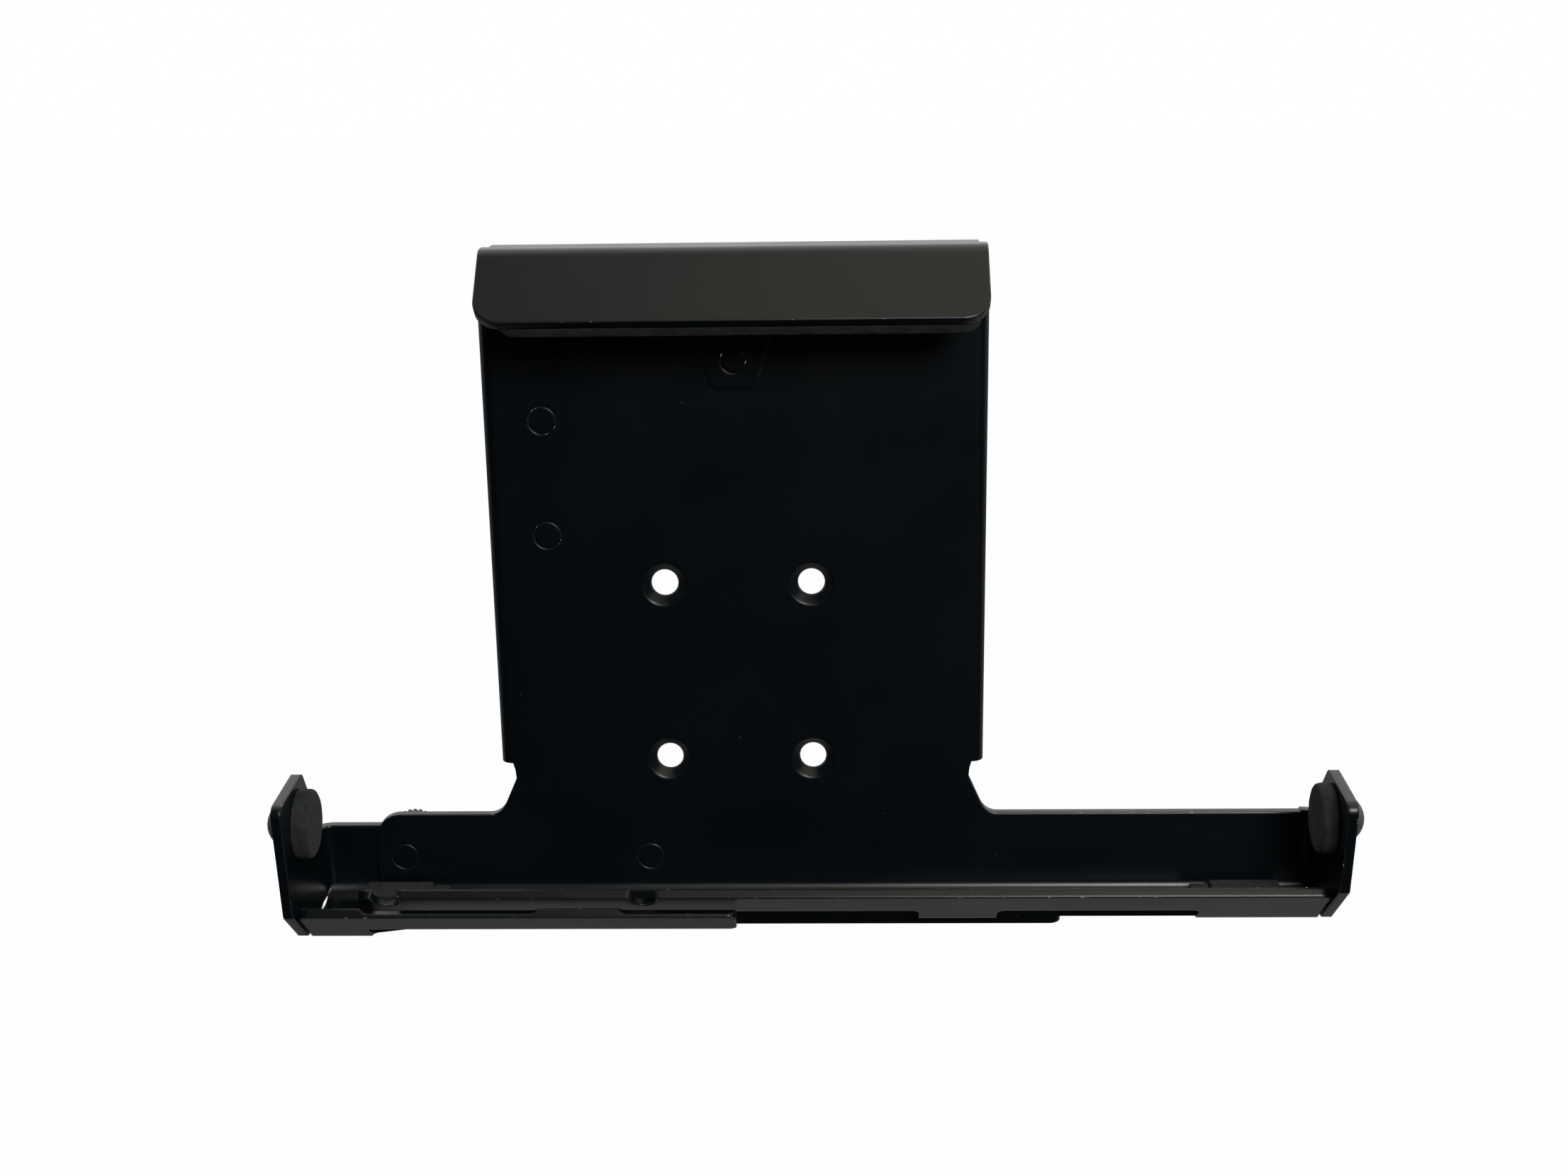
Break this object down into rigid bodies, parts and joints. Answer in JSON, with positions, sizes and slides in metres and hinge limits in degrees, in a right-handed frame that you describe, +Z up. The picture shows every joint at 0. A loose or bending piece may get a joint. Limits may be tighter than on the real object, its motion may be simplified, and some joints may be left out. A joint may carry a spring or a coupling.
{
  "type": "tablet holder",
  "caption": "Width-adjustable tablet holder folded from sheet steel, with a top hook, a foam-lined lower channel with padded end tabs, a sliding arm and a four-hole mounting pattern.",
  "frame": {"origin": "middle of the four mounting holes, on the back face of the main plate", "axes": "+X to the user's right along the sliding direction, +Y away from the user towards what carries the holder, +Z up"},
  "size_m": [0.2233, 0.0417, 0.1422],
  "materials": {
    "black_powder_coat": "satin",
    "black_foam": "matte",
    "black_plastic": "satin",
    "black_steel": "satin"
  },
  "bodies": {
    "tray": {"main_tray": "black_powder_coat", "hook_foam": "black_foam", "right_pad": "black_foam", "right_pad_button": "black_plastic", "shelf_foam_left_long": "black_foam", "shelf_foam_left_short": "black_foam", "shelf_foam_right_short": "black_foam", "shelf_foam_right_long": "black_foam", "top_stud": "black_steel", "side_stud_lower": "black_steel", "side_stud_upper": "black_steel", "clamp_stud_outer": "black_steel", "clamp_washer_outer": "black_steel", "thumb_nut_outer": "black_steel", "clamp_stud_inner": "black_steel", "clamp_washer_inner": "black_steel", "thumb_nut_inner": "black_steel"},
    "arm": {"sliding_arm": "black_powder_coat", "left_pad": "black_foam", "left_pad_button": "black_plastic"}
  },
  "joints": [
    {"name": "width_slide", "type": "slide", "parent": "tray", "child": "arm", "axis": [-1, 0, 0], "range_m": [-0.003, 0.03]}
  ]
}
